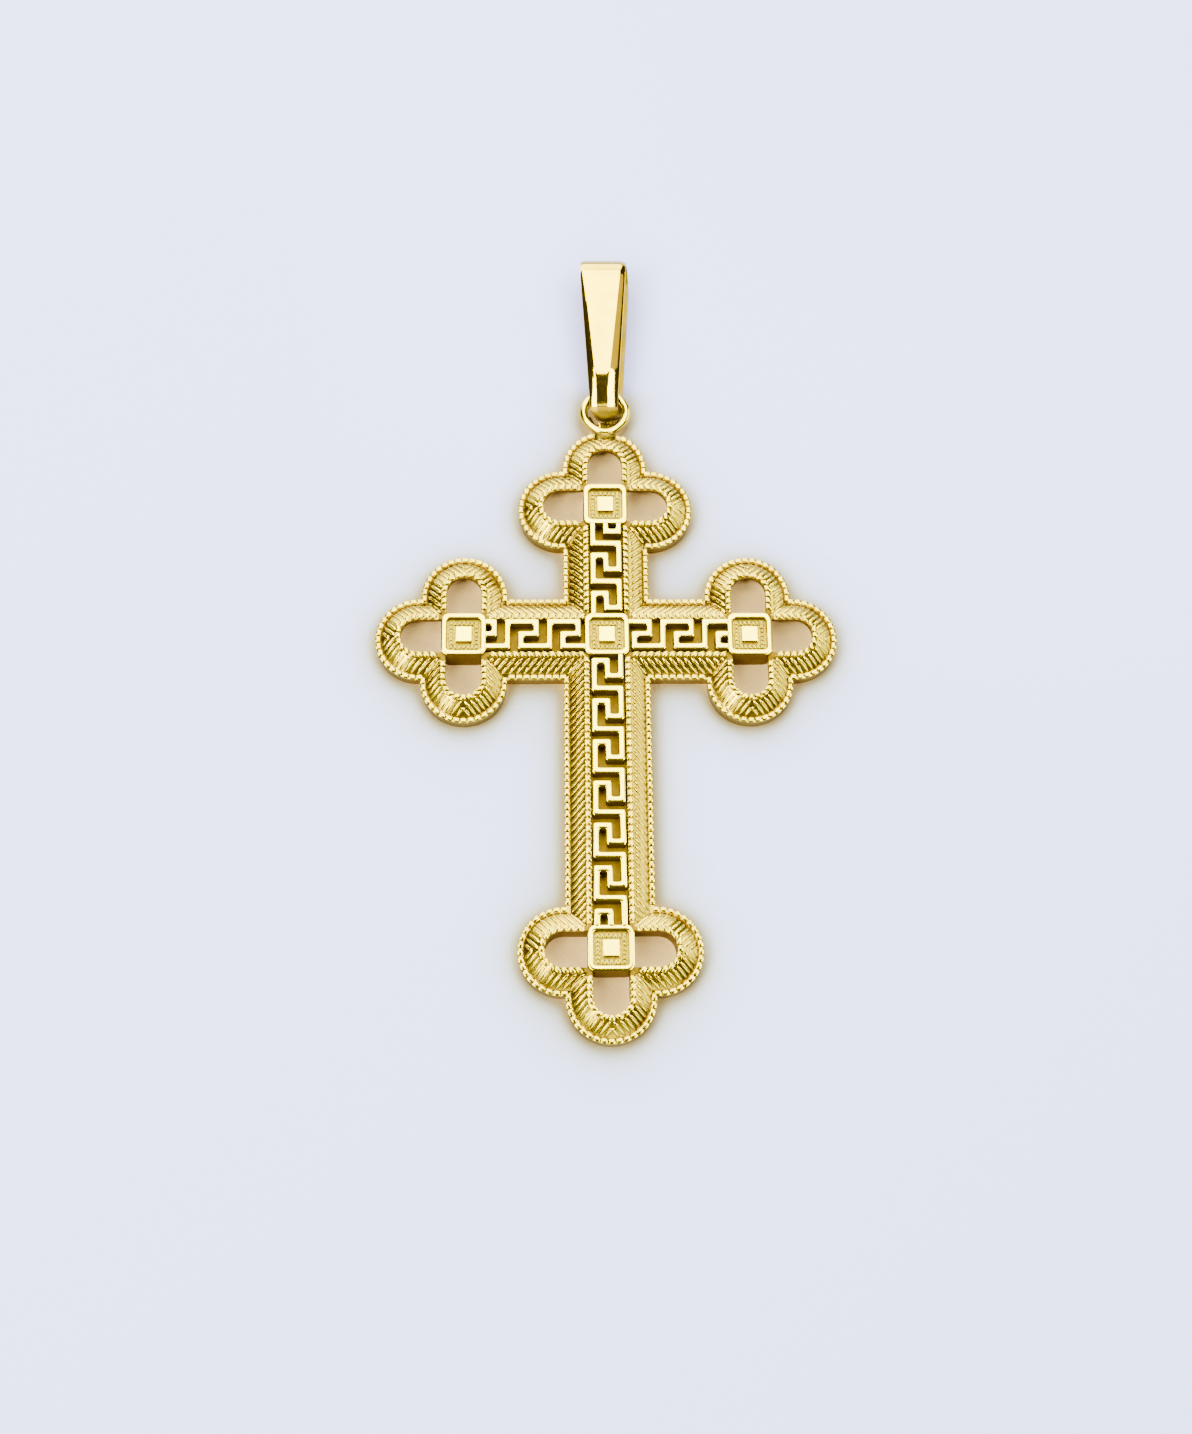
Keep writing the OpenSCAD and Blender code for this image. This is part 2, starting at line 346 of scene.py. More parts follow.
def paper(name):
    """Pale paper, with painted warm light and painted shade where the gold stands close to it."""
    sheet = Finish(name)
    spot = sheet.place()
    fibre = sheet.noise(spot, 2.5, 4.0, 0.6)
    wash = sheet.noise(spot, 0.012, 1.0)
    reach = {"Distance": 0.004}
    open_sky = sheet.node("ShaderNodeAmbientOcclusion", {"samples": 6}, reach, output=1)
    # painted warm light and painted shade near the gold, from the ambient occlusion
    painted_glow_and_shade = sheet.node("ShaderNodeValToRGB", {"stops": PAINTED_PAPER_LIGHT}, {0: open_sky})
    open_paper = sheet.mix(wash.between(0.35, 0.65), BLUE_PAPER, GREY_PAPER)
    north = sheet.node("ShaderNodeSeparateXYZ", None, {0: spot}, output=1)
    # less of the painted light and shade beside the bail, by its place on the sheet
    glow_fades_by_bail = 0.75 * north.between(16.0, 18.0)
    share = open_sky.between(0.9, 0.99).math("MAXIMUM", glow_fades_by_bail)
    colour = sheet.mix(share, painted_glow_and_shade, open_paper)
    return sheet.close(
        {
            "Base Color": colour,
            "Roughness": 0.75 + 0.1 * fibre,
            "Specular IOR Level": 0.2,
            "Normal": sheet.bump(fibre, 0.1, 0.00002),
        }
    )


POLISHED = polished_gold("polished_gold")
MIRROR = polished_gold(
    "mirror_gold", 0.045, 0.03, (0.44, 0.31, 0.003, 1.0), (0.38, 0.26, 0.002, 1.0)
)
BEADED = polished_gold(
    "beaded_gold", 0.13, 0.06, (0.36, 0.27, 0.003, 1.0), (0.24, 0.17, 0.001, 1.0)
)
SATIN = satin_gold("satin_gold")
GRAINED = grained_gold("grained_gold")
RECESS = recess_gold("recess_gold")
# Darker, rougher gold: a painted dark reflection on the front of the bail's foot bend, and the
# finish of the inside of its loop
DIM_BAIL_GOLD = polished_gold(
    "bail_dim_gold", 0.4, 0.08, (0.16, 0.103, 0.0005, 1.0), (0.12, 0.075, 0.0004, 1.0)
)
# Solder at the joint, darkened as painted shade
SOLDER_AND_SHADE = polished_gold(
    "solder_gold_and_shade", 0.26, 0.15, (0.11, 0.075, 0.001, 1.0), (0.05, 0.03, 0.0005, 1.0)
)
# Nearly black gold: painted shade inside the ring's lower end
SHADED_SOLDER = polished_gold(
    "solder_painted_shade", 0.3, 0.15, (0.05, 0.03, 0.0004, 1.0), (0.02, 0.011, 0.0002, 1.0)
)
PEBBLED = polished_gold(
    "pebbled_gold", 0.2, 0.1, (0.2, 0.15, 0.0015, 1.0), (0.14, 0.1, 0.001, 1.0)
)


# Mesh helpers
def kept(bm, name):
    """Keeps a small shape as a mesh, for stamping."""
    mesh = bpy.data.meshes.new(name)
    bm.to_mesh(mesh)
    bm.free()
    return mesh


def stamp(bm, shape, place):
    """Adds a copy of a small shape, with each of its points moved by place."""
    copy = shape.copy()
    for vert in copy.vertices:
        vert.co = place(vert.co)
    bm.from_mesh(copy)
    bpy.data.meshes.remove(copy)


def rounded(bm, edges, offset, segments, profile=0.5):
    """Rounds edges over; a profile above a half leaves them fuller than a quarter circle."""
    bmesh.ops.bevel(
        bm,
        geom=edges,
        offset=offset,
        segments=segments,
        profile=profile,
        affect="EDGES",
        material=-1,
    )


def turned(degrees, centre=(0, 0, 0)):
    """Place that turns about +Z and then shifts to a centre."""
    matrix = Matrix.Translation(centre) @ Matrix.Rotation(math.radians(degrees), 4, "Z")
    return lambda point: matrix @ point


def end_bosses():
    """Centre of each end boss, and the turn from +Y of the arm that it ends."""
    for turn, reach, _ in ARMS:
        yield Matrix.Rotation(math.radians(turn), 3, "Z") @ Vector((0, reach, 0)), turn


def lobe_places():
    """Places of the twelve lobes, three to an end."""
    for centre, turn in end_bosses():
        for side in (-90, 0, 90):
            yield turned(turn + side, centre)


def finished(bm, name, materials, node):
    """Moves a piece onto the frame, scales it to metres and hands it over."""
    bmesh.ops.translate(bm, vec=(0, -MIDDLE_Y, 0), verts=bm.verts)
    bmesh.ops.scale(bm, vec=(0.001, 0.001, 0.001), verts=bm.verts)
    bmesh.ops.recalc_face_normals(bm, faces=bm.faces)
    for face in bm.faces:
        face.smooth = True
    mesh = bpy.data.meshes.new(name)
    bm.to_mesh(mesh)
    bm.free()
    mesh.set_sharp_from_angle(angle=math.radians(38))
    for material in materials:
        mesh.materials.append(material)
    piece = bpy.data.objects.new(name, mesh)
    bpy.context.scene.collection.objects.link(piece)
    even = piece.modifiers.new("even_normals", "WEIGHTED_NORMAL")
    even.keep_sharp = True
    even.weight = 80
    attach(piece, "root")
    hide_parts(node)
    return piece


def closed_outline(bm, points):
    """Closed loop of edges through points."""
    verts = [bm.verts.new(point) for point in points]
    edges = [bm.edges.new((verts[i - 1], verts[i])) for i in range(len(verts))]
    return verts, edges


def run_on(bm, edges, place):
    """Extrudes a loop of edges and puts each of its new points where place says."""
    made = bmesh.ops.extrude_edge_only(bm, edges=edges)["geom"]
    verts = [part for part in made if isinstance(part, bmesh.types.BMVert)]
    for vert in verts:
        vert.co = place(vert.co)
    made_edges = [part for part in made if isinstance(part, bmesh.types.BMEdge)]
    return [edge for edge in made_edges if edge.is_boundary]


# Border
def lobe_band(wall):
    """Border of one lobe that points up from its boss, mitred along the boss's diagonals."""
    bm = bmesh.new()
    section = wall + SLOPE + BACK
    verts, edges = closed_outline(bm, [(-across, LOBE_REACH, z) for across, z in section])
    spun = bmesh.ops.spin(
        bm,
        geom=verts + edges,
        cent=(0, LOBE_REACH, 0),
        axis=(0, 0, 1),
        angle=-math.pi,
        steps=28,
    )["geom_last"]
    last = [part for part in spun if isinstance(part, bmesh.types.BMEdge)]
    for loop in (edges, last):
        end = run_on(bm, loop, lambda point: Vector((point.x, abs(point.x), point.z)))
        bmesh.ops.edgeloop_fill(bm, edges=end)
    cut_across(bm, BOSS_CLEAR)
    # walls of the openings, the hollow's ceiling and the groove beside the boss take the recess
    # finish: painted shade
    for face in bm.faces:
        middle = face.calc_center_median()
        across = across_of(middle, LOBE_REACH)
        under = across < WINDOW_HALF + 0.01 or middle.z < EDGE_FLOOR + 0.01 and across < 1.5
        beside_boss = across < GROOVE_OUT and middle.y < BOSS_CLEAR
        if under or beside_boss or abs(middle.z - HOLLOW) < 0.01:
            face.material_index = 1
    return kept(bm, "lobe_band")


def cut_across(bm, y):
    """New edges all round a band where it crosses y."""
    everything = bm.verts[:] + bm.edges[:] + bm.faces[:]
    bmesh.ops.bisect_plane(bm, geom=everything, plane_co=(0, y, 0), plane_no=(0, 1, 0))


def arm_band(reach):
    """Border of one arm with the floor of its fret, mitred at both ends."""
    bm = bmesh.new()
    half = SLAB_WALL + SLOPE + BACK
    other = [(-across, z) for across, z in reversed(half)]
    section = half + [(0, HOLLOW)] + other + [(0, SLOT_FLOOR)]
    _, edges = closed_outline(bm, [(across, reach / 2, z) for across, z in section])
    for end_y in (0, reach):
        sign = 1 if end_y == 0 else -1

        def mitre(point, y=end_y, sign=sign):
            return Vector((point.x, y + sign * abs(point.x), point.z))

        end = run_on(bm, edges, mitre)
        cap = bmesh.ops.edgeloop_fill(bm, edges=end)["faces"][0]
        bmesh.ops.connect_verts(bm, verts=[vert for vert in cap.verts if vert.co.x == 0])
    cut_across(bm, BOSS_CLEAR)
    cut_across(bm, reach - BOSS_CLEAR)
    # the groove beside each boss takes the recess finish: painted shade
    for face in bm.faces:
        middle = face.calc_center_median()
        beside_boss = not BOSS_CLEAR < middle.y < reach - BOSS_CLEAR
        in_groove = FLOOR_HALF < abs(middle.x) < GROOVE_OUT and middle.z > HOLLOW + 0.01
        if beside_boss and in_groove:
            face.material_index = 1
    return kept(bm, "arm_band")


def make_border():
    """Sloping band of all arms and lobes, with the floor under the frets."""
    bm = bmesh.new()
    thin_lobe = lobe_band(THIN_WALL)
    full_lobe = lobe_band(FULL_WALL)
    for i, place in enumerate(lobe_places()):
        stamp(bm, full_lobe if i // 3 == LOWER_ARM else thin_lobe, place)
    for turn, reach, _ in ARMS:
        stamp(bm, arm_band(reach), turned(turn))
    # the floor under the frets takes the recess finish: painted shade
    for face in bm.faces:
        middle = face.calc_center_median()
        on_arm = min(abs(middle.x), abs(middle.y)) < FLOOR_HALF
        if on_arm and abs(middle.z - SLOT_FLOOR) < 0.02:
            face.material_index = 1
    finished(bm, "sloping_border", [SATIN, RECESS], "cross")


# Rows of beads and the hatched ridges
def bead(width, length, height, slant):
    """Rounded block, sheared along its length by slant."""
    bm = bmesh.new()
    bmesh.ops.create_cube(bm, size=1)
    rounded(bm, bm.edges[:], 0.3, 2, profile=0.6)
    bmesh.ops.scale(bm, vec=(width, length, height), verts=bm.verts)
    for vert in bm.verts:
        vert.co.y += slant * vert.co.x
    return kept(bm, "bead")


def row_place(at, outward):
    """Place of a bead: its x runs outward and its y runs along the row."""
    out = Vector((outward.x, outward.y, 0)).normalized()
    along = Vector((0, 0, 1)).cross(out)
    return lambda point: at + point.x * out + point.y * along + Vector((0, 0, point.z))


def lobe_row(across, z, width, length, height, slant):
    """Beads around one lobe, with one bead at its tip."""
    straight = LOBE_REACH - across
    whole = straight + math.pi / 2 * across
    count = round(whole / BEAD_PITCH)
    bm = bmesh.new()
    left = bead(width, length, height, slant)
    right = bead(width, length, height, -slant)
    tip = bead(width, length, height, 0)
    for i in range(count + 1):
        way = whole * (1 - i / (count + 0.5))
        angle = math.radians(90) - (whole - way) / across
        if angle <= 0 and way + across < BOSS_HALF + CORNER_GAP:
            continue
        for side in (-1, 1) if i else (1,):
            if angle > 0:
                out = Vector((side * math.cos(angle), math.sin(angle), 0))
                at = Vector((0, LOBE_REACH, z)) + across * out
            else:
                out = Vector((side, 0, 0))
                at = Vector((side * across, way + across, z))
            shape = tip if i == 0 else (left if side < 0 else right)
            stamp(bm, shape, row_place(at, out))
    return kept(bm, "lobe_row")


def arm_row(reach, start, across, z, width, length, height, slant):
    """Beads along both sides of one arm, from mitre to mitre."""
    bm = bmesh.new()
    left = bead(width, length, height, slant)
    right = bead(width, length, height, -slant)
    way = start
    free = max(across + 0.3 * length, BOSS_HALF + CORNER_GAP)
    while way < free:
        way += BEAD_PITCH
    while way < reach - free:
        for side, shape in ((-1, left), (1, right)):
            at = Vector((side * across, way, z))
            stamp(bm, shape, row_place(at, Vector((side, 0, 0))))
        way += BEAD_PITCH
    return kept(bm, "arm_row")


def make_inner_row():
    """Slanted beads beside the fret and around the windows."""
    bm = bmesh.new()
    lobe = lobe_row(*INNER_ROW)
    for place in lobe_places():
        stamp(bm, lobe, place)
    for turn, reach, start in ARMS:
        stamp(bm, arm_row(reach, start, *INNER_ROW), turned(turn))
    finished(bm, "inner_bead_row", [BEADED], "cross")


def connected(verts):
    """Every vertex of the beads that have one of these vertices."""
    found = set(verts)
    fresh = list(verts)
    while fresh:
        near = {edge.other_vert(vert) for vert in fresh for edge in vert.link_edges}
        fresh = list(near - found)
        found |= near
    return list(found)


def make_outer_row():
    """Beaded edge along the whole outline."""
    bm = bmesh.new()
    lobe = lobe_row(*OUTER_ROW)
    for place in lobe_places():
        stamp(bm, lobe, place)
    for turn, reach, _ in ARMS:
        stamp(bm, arm_row(reach, 0.0, *OUTER_ROW), turned(turn))
    under_solder = [
        vert
        for vert in bm.verts
        if abs(vert.co.x - RING_AT.x) < SOLDER_HALF
        and vert.co.y > SIDE_REACH + LOBE_REACH + 2
    ]
    bmesh.ops.delete(bm, geom=connected(under_solder), context="VERTS")
    finished(bm, "outer_bead_row", [BEADED], "cross")


def slope_height(across):
    """Height of the border's slope at a distance from the middle line."""
    for (near, top), (far, low) in zip(SLOPE, SLOPE[1:]):
        if across <= far:
            return top + (low - top) * (across - near) / (far - near)
    return SLOPE[-1][1]


def across_of(point, round_end):
    """Distance of a point from the middle line, which ends at round_end."""
    if point.y <= round_end:
        return abs(point.x)
    return math.hypot(point.x, point.y - round_end)


def ridge_path(start, round_end, inside):
    """Middle of one straight ridge on the left side, which runs in along the diagonal."""
    step = 0.02
    path = []
    point = Vector((-3.0, start + 3.0))
    heading = Vector((1, -1)).normalized()
    while point.x < 0 and point.y > -0.5:
        across = across_of(point, round_end)
        if across < RIDGE_FROM:
            break
        if across < RIDGE_TO and inside(point):
            path.append(point.copy())
        elif path:
            break
        point += step * heading
    return path


def ridge_bar():
    """Half-round bar, cut into short lengths: x along, y across, z from foot to crest."""
    bm = bmesh.new()
    angles = [math.pi * i / 6 for i in range(7)]
    arch = [Vector((0, -0.5 * math.cos(angle), math.sin(angle))) for angle in angles]
    _, edges = closed_outline(bm, arch)
    bmesh.ops.edgeloop_fill(bm, edges=edges)
    lengths = 6
    for i in range(lengths):
        edges = run_on(bm, edges, lambda point: point + Vector((1 / lengths, 0, 0)))
    bmesh.ops.edgeloop_fill(bm, edges=edges)
    return kept(bm, "ridge_bar")


def lay_ridge(bm, bar, path, round_end):
    """Lays the bar along a path on the slope, with rounded ends."""
    last = len(path) - 1
    sunk = 0.02

    def place(point):
        here = point.x * last
        i = min(int(here), last - 1)
        middle = path[i].lerp(path[i + 1], here - i)
        along = (path[min(i + 2, last)] - path[max(i - 1, 0)]).normalized()
        side = Vector((-along.y, along.x))
        taper = 0.45 if point.x < 0.01 or point.x > 0.99 else 1.0
        spot = middle + point.y * RIDGE_W * taper * side
        z = slope_height(max(SLOPE[0][0], across_of(spot, round_end))) - sunk
        return Vector((spot.x, spot.y, z + (RIDGE_HEIGHT + sunk) * taper * point.z))

    stamp(bm, bar, place)


def hatched(round_end, inside):
    """Ridges on both sides of an arm or lobe that points up."""
    bar = ridge_bar()
    half = bmesh.new()
    start = 0.12
    while start < round_end + 2.4:
        path = ridge_path(start, round_end, inside)
        if len(path) > 8:
            lay_ridge(half, bar, path, round_end)
        start += BEAD_PITCH
    left = kept(half, "hatched_half")
    bm = bmesh.new()
    stamp(bm, left, lambda point: point)
    stamp(bm, left, lambda point: Vector((-point.x, point.y, point.z)))
    return kept(bm, "hatched")


def make_hatching():
    """Herringbone ridges on the slope."""
    bm = bmesh.new()
    lobe = hatched(LOBE_REACH, lambda point: point.y > abs(point.x))
    for place in lobe_places():
        stamp(bm, lobe, place)
    for turn, reach, _ in ARMS:

        def on_arm(point, end=reach):
            return abs(point.x) < point.y < end - abs(point.x)

        stamp(bm, hatched(reach, on_arm), turned(turn))
    finished(bm, "hatched_ridges", [POLISHED], "cross")


# Key fret
def fret_line(start, end, first, pitch):
    """Middle of the raised line, running down the sheet with square corners."""
    rail = STRIP_HALF - LINE_W / 2
    line = []
    top = -first
    while top > -end - pitch:
        hook_low = top - (pitch - 1.5 * LINE_W - SLOT_W)
        hook_high = top - SLOT_W - LINE_W / 2
        line += [
            (-rail, top + LINE_W / 2),
            (rail, top + LINE_W / 2),
            (rail, hook_low),
            (0, hook_low),
            (0, hook_high),
            (-rail, hook_high),
        ]
        top -= pitch
    return [Vector((x, y, KEY_TOP)) for x, y in line]


def mitre_points(line, i):
    """The two sides of a line of square corners at its point i."""
    ways = []
    if i:
        ways.append((line[i] - line[i - 1]).normalized())
    if i < len(line) - 1:
        ways.append((line[i + 1] - line[i]).normalized())
    aside = sum((Vector((-way.y, way.x, 0)) for way in ways), Vector((0, 0, 0)))
    return line[i] + LINE_W / 2 * aside, line[i] - LINE_W / 2 * aside


def fret_strip(turn, start, end, first, pitch):
    """Raised line of one arm's fret: a flat strip along its path, thickened and rounded."""
    bm = bmesh.new()
    line = fret_line(start, end, first, pitch)
    edge = bm.edges.new([bm.verts.new(point) for point in mitre_points(line, 0)])
    for i in range(1, len(line)):
        sides = dict(zip(edge.verts, mitre_points(line, i)))
        made = bmesh.ops.extrude_edge_only(bm, edges=[edge])["geom"]
        ahead = [part for part in made if isinstance(part, bmesh.types.BMEdge)]
        old = list(edge.verts)
        edge = next(e for e in ahead if not set(e.verts) & set(old) and len(e.link_faces) == 1)
        for vert in edge.verts:
            before = next(v for v in old if any(v in e.verts for e in vert.link_edges))
            vert.co = sides[before]
        bm.normal_update()
    for limit, sign in ((LINE_END - start, 1), (-LINE_END - end, -1)):
        bmesh.ops.bisect_plane(
            bm,
            geom=bm.verts[:] + bm.edges[:] + bm.faces[:],
            plane_co=(0, limit, 0),
            plane_no=(0, sign, 0),
            clear_outer=True,
        )
    bmesh.ops.dissolve_faces(bm, faces=bm.faces[:])
    bmesh.ops.recalc_face_normals(bm, faces=bm.faces)
    raised = bmesh.ops.extrude_face_region(bm, geom=bm.faces[:])["geom"]
    lower = [part for part in raised if isinstance(part, bmesh.types.BMVert)]
    bmesh.ops.translate(bm, vec=(0, 0, SLOT_FLOOR - 0.05 - KEY_TOP), verts=lower)
    bmesh.ops.recalc_face_normals(bm, faces=bm.faces)
    for offset, outer in LINE_ROUNDS:
        upright = []
        for e in bm.edges:
            if abs(e.verts[0].co.z - e.verts[1].co.z) < 0.5 or len(e.link_faces) != 2:
                continue
            angle = e.calc_face_angle_signed()
            if abs(angle) > 1 and (angle > 0) == outer:
                upright.append(e)
        rounded(bm, upright, offset, 4)
    crest = [e for e in bm.edges if all(v.co.z > KEY_TOP - 0.01 for v in e.verts)]
    rim = [e for e in crest if any(abs(f.normal.z) < 0.5 for f in e.link_faces)]
    rounded(bm, rim, 0.04, 2)
    bmesh.ops.triangulate(bm, faces=[f for f in bm.faces if len(f.verts) > 4])
    return kept(bm, "fret_strip")


def darken_walls(bm, index):
    """Gives the upright walls the recess finish, its painted shade."""
    bm.normal_update()
    for face in bm.faces:
        if abs(face.normal.z) < 0.3 and face.calc_center_median().z < KEY_TOP - 0.13:
            face.material_index = index


def make_fret():
    """Key fret along all four arms."""
    bm = bmesh.new()
    for fret in FRETS:
        stamp(bm, fret_strip(*fret), turned(fret[0]))
    darken_walls(bm, 1)
    finished(bm, "key_fret", [POLISHED, RECESS], "cross")


# Bosses
def stud():
    """Raised square in the middle of a field, with a narrow margin that keeps its top flat."""
    bm = bmesh.new()
    bmesh.ops.create_cube(bm, size=1)
    rounded(bm, bm.edges[:], 0.045, 2)
    top = max(bm.faces, key=lambda f: f.calc_center_median().z)
    bmesh.ops.inset_region(bm, faces=[top], thickness=0.03)
    return kept(bm, "stud")


def boss():
    """Square boss with a polished rim and a sunk, grained field."""
    bm = bmesh.new()
    bmesh.ops.create_cube(bm, size=1)
    bmesh.ops.scale(bm, vec=(2 * BOSS_HALF, 2 * BOSS_HALF, KEY_TOP), verts=bm.verts)
    bmesh.ops.translate(bm, vec=(0, 0, KEY_TOP / 2), verts=bm.verts)
    upright = [e for e in bm.edges if abs(e.verts[0].co.z - e.verts[1].co.z) > 1]
    rounded(bm, upright, BOSS_ROUND, 6)
    top = max(bm.faces, key=lambda f: f.calc_center_median().z)
    rim_w = BOSS_HALF - FIELD_HALF
    bmesh.ops.inset_region(bm, faces=[top], thickness=rim_w, use_even_offset=True)
    for vert in top.verts:
        sign = Vector((math.copysign(1, vert.co.x), math.copysign(1, vert.co.y), 0))
        way = vert.co - (BOSS_HALF - BOSS_ROUND) * sign
        way.z = 0
        corner = (FIELD_HALF - FIELD_ROUND) * sign + Vector((0, 0, KEY_TOP))
        vert.co = corner + FIELD_ROUND * way.normalized()
    sunk = bmesh.ops.extrude_face_region(bm, geom=[top])["geom"]
    bmesh.ops.delete(bm, geom=[top], context="FACES_ONLY")
    low = [part for part in sunk if isinstance(part, bmesh.types.BMVert)]
    bmesh.ops.translate(bm, vec=(0, 0, -FIELD_DEPTH), verts=low)
    for part in sunk:
        if isinstance(part, bmesh.types.BMFace):
            part.material_index = 1
    bmesh.ops.recalc_face_normals(bm, faces=bm.faces)
    darken_walls(bm, 2)
    rims = []
    for e in bm.edges:
        level = all(abs(v.co.z - KEY_TOP) < 0.001 for v in e.verts)
        if level and any(abs(f.normal.z) < 0.5 for f in e.link_faces):
            rims.append(e)
    rounded(bm, rims, 0.045, 2)
    field_z = KEY_TOP - FIELD_DEPTH
    stamp(bm, stud(), lambda p: Vector((p.x, p.y, field_z + 2 * FIELD_DEPTH * p.z)))
    return kept(bm, "boss")


def boss_grain():
    """Low grains around the raised square of a boss."""
    bm = bmesh.new()
    shape = bead(0.27, 0.25, 0.3, 0)
    for quarter in range(4):
        turn = turned(90 * quarter)
        for i in range(GRAINS):
            at = Vector((GRAINS_OUT, -GRAINS_OUT + GRAINS_APART * i, KEY_TOP - 0.31))
            at += Vector((chance.uniform(-0.02, 0.02), chance.uniform(-0.02, 0.02), 0))
            size = chance.uniform(0.85, 1.1)
            stamp(bm, shape, lambda p, a=at, s=size, t=turn: t(a + s * p))
    return kept(bm, "boss_grain")


def make_bosses():
    """The five bosses with the grains in their fields."""
    shape = boss()
    grain = boss_grain()
    bm = bmesh.new()
    grains = bmesh.new()
    for centre in [Vector((0, 0, 0))] + [centre for centre, _ in end_bosses()]:
        stamp(bm, shape, turned(0, centre))
        stamp(grains, grain, turned(0, centre))
    finished(bm, "square_bosses", [POLISHED, GRAINED, RECESS], "cross")
    finished(grains, "boss_grains", [PEBBLED], "cross")


# Ring
def make_ring():
    """Wire ring, drawn in a little towards its lower end."""
    bm = bmesh.new()
    made = bmesh.ops.create_circle(bm, segments=20, radius=RING_WIRE)
    upright = Matrix.Rotation(math.radians(90), 4, "X")
    bmesh.ops.transform(bm, matrix=upright, verts=made["verts"])
    bmesh.ops.translate(bm, vec=RING_AT + Vector((RING_R, 0, 0)), verts=made["verts"])
    bmesh.ops.spin(
        bm,
        geom=bm.verts[:] + bm.edges[:],
        cent=RING_AT,
        axis=(0, 0, 1),
        angle=2 * math.pi,
        steps=64,
        use_merge=True,
    )
    bmesh.ops.remove_doubles(bm, verts=bm.verts, dist=0.0005)
    pinch = 0.3
    for vert in bm.verts:
        low = max(0, (RING_AT.y - vert.co.y) / (RING_R + RING_WIRE))
        vert.co.x = RING_AT.x + (vert.co.x - RING_AT.x) * (1 - pinch * low**2)
    lump(bm, (-0.36, 14.7, 0.98), (0.09, 0.27, 0.14), 8)
    finished(bm, "soldered_ring", [POLISHED], "cross")


def lump(bm, at, size, turn):
    """Smooth drop of metal, at a place seen from the middle line of the ring."""
    verts = bmesh.ops.create_icosphere(bm, subdivisions=3, radius=1)["verts"]
    bmesh.ops.scale(bm, vec=size, verts=verts)
    matrix = Matrix.Rotation(math.radians(turn), 3, "Z")
    bmesh.ops.rotate(bm, cent=(0, 0, 0), matrix=matrix, verts=verts)
    bmesh.ops.translate(bm, vec=Vector(at) + Vector((RING_AT.x, 0, 0)), verts=verts)


def make_solder():
    """Drops of solder that fill the lower end of the ring and run onto the top lobe; the solder at
    the joint is darkened as painted shade, and the drops inside the ring's lower end are nearly
    black, as painted shade.
    """
    bm = bmesh.new()
    lump(bm, (0.0, 14.02, 0.78), (0.72, 0.42, 0.36), 0)
    lump(bm, (-0.17, 13.86, 0.98), (0.3, 0.1, 0.16), -38)
    lump(bm, (0.17, 13.86, 0.98), (0.3, 0.1, 0.16), 38)
    # the drops from here on take painted shade: they fill the ring's lower end
    shaded_from = len(bm.faces)
    lump(bm, (0.0, 14.73, 0.56), (0.78, 0.31, 0.3), 0)
    for _ in range(16):
        x, y = chance.uniform(-0.6, 0.6), chance.uniform(14.55, 14.86)
        at = (x, y, chance.uniform(0.72, 0.98))
        size = [chance.uniform(0.13, 0.22) for _ in range(3)]
        lump(bm, at, size, chance.uniform(-60, 60))
    for side in (-1, 1):
        for i in range(7):
            angle = math.radians(-90 + side * (60 - 22 * i))
            reach = RING_R - RING_WIRE - 0.04
            at = (reach * math.cos(angle), RING_AT.y + reach * math.sin(angle), 0.6)
            lump(bm, at, (0.24, 0.17, 0.2), math.degrees(angle) + 90)
    bm.faces.ensure_lookup_table()
    for face in bm.faces[shaded_from:]:
        face.material_index = 1
    finished(bm, "ring_solder", [SOLDER_AND_SHADE, SHADED_SOLDER], "cross")


# Bail
def ribbon_section(share, angle):
    """Corners of the ribbon at a share of its length, where its outside faces that angle."""
    radius, width, left, right, left_drop, right_drop = [
        foot + share * (top - foot) for foot, top in zip(BAIL_FOOT, BAIL_TOP)
    ]
    out_y, out_z = math.cos(angle), math.sin(angle)
    near_foot = max(0, 0.25 - share) * max(0, out_z)
    radius -= 0.83 * near_foot
    crown = min(0.022, 2 * near_foot)
    if out_z > -0.5:
        neck = max(0, min(1, (NECK_FROM - share) / NECK_RUN))
        shape = (left, right, left_drop, right_drop, crown)
        left, right, left_drop, right_drop, crown = [
            here + neck * (there - here) for here, there in zip(shape, BAIL_NECK)
        ]
    narrowed = 1 - FOOT_NARROWING * (1 - share) * max(0, -out_y) ** 6
    crown_w = 0.16
    corners = [
        (-width / 2, -BAIL_T),
        (-width / 2, -left_drop),
        (left - width / 2, -crown),
        (left - width / 2 + crown_w, 0),
        (width / 2 - right - crown_w, 0),
        (width / 2 - right, -crown),
        (width / 2, -right_drop),
        (width / 2, -BAIL_T),
    ]
    return [
        Vector(
            (
                narrowed * x - BAIL_SKEW * out_z,
                share * BAIL_LENGTH + (radius + depth) * out_y,
                (radius + depth) * out_z,
            )
        )
        for x, depth in corners
    ]


def ribbon_stops():
    """Share of the way from foot to top and direction of the outside, all round the loop."""
    front = math.pi / 2 + BAIL_TAPER
    top = [(1, front - 2 * front * i / 24) for i in range(25)]
    back = [(1 - i / 8, -front) for i in range(1, 8)]
    foot_turn = math.pi - 2 * BAIL_TAPER
    foot = [(0, -front - foot_turn * i / 20) for i in range(21)]
    face = [(i / 24, front - 2 * math.pi) for i in range(1, 24)]
    return top + back + foot + face


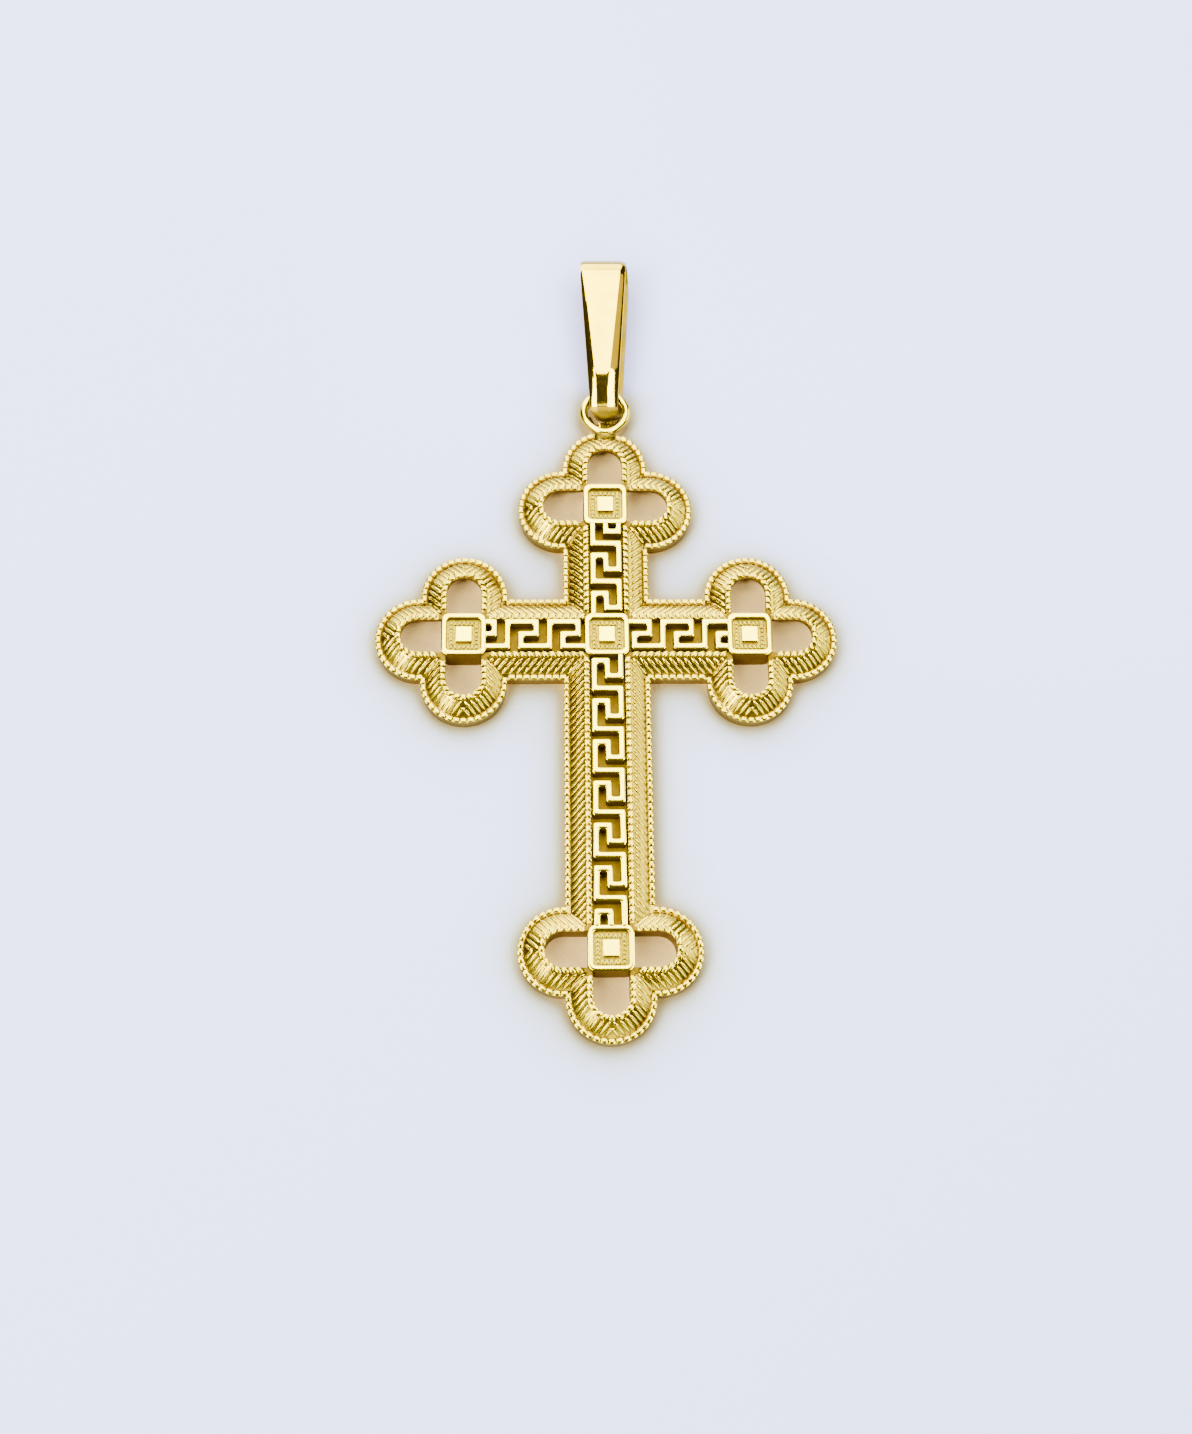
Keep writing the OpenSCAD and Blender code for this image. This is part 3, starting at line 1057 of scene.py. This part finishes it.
def make_bail():
    """Tapered, bevelled ribbon, closed into a loop through the ring."""
    bm = bmesh.new()
    stops = ribbon_stops()
    _, edges = closed_outline(bm, ribbon_section(*stops[0]))
    for before, stop in zip(stops, stops[1:] + stops[:1]):
        shift = list(zip(ribbon_section(*before), ribbon_section(*stop)))

        def place(point, shift=shift):
            return min(shift, key=lambda pair: (pair[0] - point).length)[1]

        edges = run_on(bm, edges, place)
    bmesh.ops.remove_doubles(bm, verts=bm.verts, dist=0.0005)
    bmesh.ops.recalc_face_normals(bm, faces=bm.faces)
    lengthways = [e for e in bm.edges if e.calc_face_angle(0) > math.radians(12)]
    rounded(bm, lengthways, 0.045, 2)
    # the front of the foot bend takes the darker gold as a painted dark reflection; the inside of
    # the loop takes it too
    for face in bm.faces:
        middle = face.calc_center_median()
        painted_dark_foot = middle.y < -0.14 and middle.z > -0.3
        way = max(0, min(BAIL_LENGTH, middle.y))
        radius = BAIL_FOOT[0] + way / BAIL_LENGTH * (BAIL_TOP[0] - BAIL_FOOT[0])
        inner_radius = radius - BAIL_T
        inside = math.hypot(middle.y - way, middle.z) < inner_radius + 0.04
        if painted_dark_foot or inside:
            face.material_index = 1
    matrix = Matrix.Rotation(BAIL_TAPER, 3, "X")
    bmesh.ops.rotate(bm, cent=(0, 0, 0), matrix=matrix, verts=bm.verts)
    bmesh.ops.translate(bm, vec=BAIL_AT, verts=bm.verts)
    finished(bm, "tapered_bail", [MIRROR, DIM_BAIL_GOLD], "bail")


# Paper, lights and camera
def make_paper():
    """Sheet that the pendant lies on."""
    bm = bmesh.new()
    bmesh.ops.create_grid(bm, x_segments=2, y_segments=2, size=1.5)
    mesh = bpy.data.meshes.new("paper")
    bm.to_mesh(mesh)
    bm.free()
    mesh.materials.append(paper("paper_with_painted_glow"))
    sheet = bpy.data.objects.new("paper", mesh)
    bpy.context.scene.collection.objects.link(sheet)


def softbox(name, at, size, watts, colour):
    """Rectangular light that faces the pendant; at and size are in millimetres."""
    light = bpy.data.lights.new(name, "AREA")
    light.shape = "RECTANGLE"
    light.size, light.size_y = size[0] * 0.001, size[1] * 0.001
    light.energy = watts
    light.color = colour
    lamp = bpy.data.objects.new(name, light)
    lamp.location = Vector(at) * 0.001
    lamp.rotation_euler = (-Vector(at)).to_track_quat("-Z", "Y").to_euler()
    bpy.context.scene.collection.objects.link(lamp)


def make_lights():
    """Softboxes around the pendant, in a dim, warm room."""
    for name, values in SOFTBOXES.items():
        softbox(name, *values)
    world = bpy.data.worlds.new("dim_room")
    world.use_nodes = True
    room = world.node_tree.nodes["Background"]
    room.inputs["Color"].default_value = (1.0, 0.75, 0.48, 1)
    room.inputs["Strength"].default_value = 0.1
    bpy.context.scene.world = world


def make_camera():
    """Camera of the photograph: nearly upright above the pendant, from the side of its foot."""
    tilt, yaw, roll = (math.radians(turn) for turn in CAMERA_TURNS)
    view = Matrix.Rotation(roll, 3, "Z") @ Matrix.Rotation(-tilt, 3, "X")
    view = view @ Matrix.Rotation(yaw, 3, "Y")
    spot = CAMERA_AIM + view.transposed() @ Vector((0, 0, CAMERA_WAY))
    camera = bpy.data.cameras.new("camera")
    camera.lens = CAMERA_LENS
    camera.sensor_width = 36
    camera.clip_start = 0.005
    camera.clip_end = 10
    eye = bpy.data.objects.new("camera", camera)
    eye.matrix_world = Matrix.Translation(spot * 0.001) @ view.transposed().to_4x4()
    bpy.context.scene.collection.objects.link(eye)
    bpy.context.scene.camera = eye


make_border()
make_inner_row()
make_outer_row()
make_hatching()
make_fret()
make_bosses()
make_ring()
make_solder()
make_bail()
make_paper()
make_lights()
make_camera()
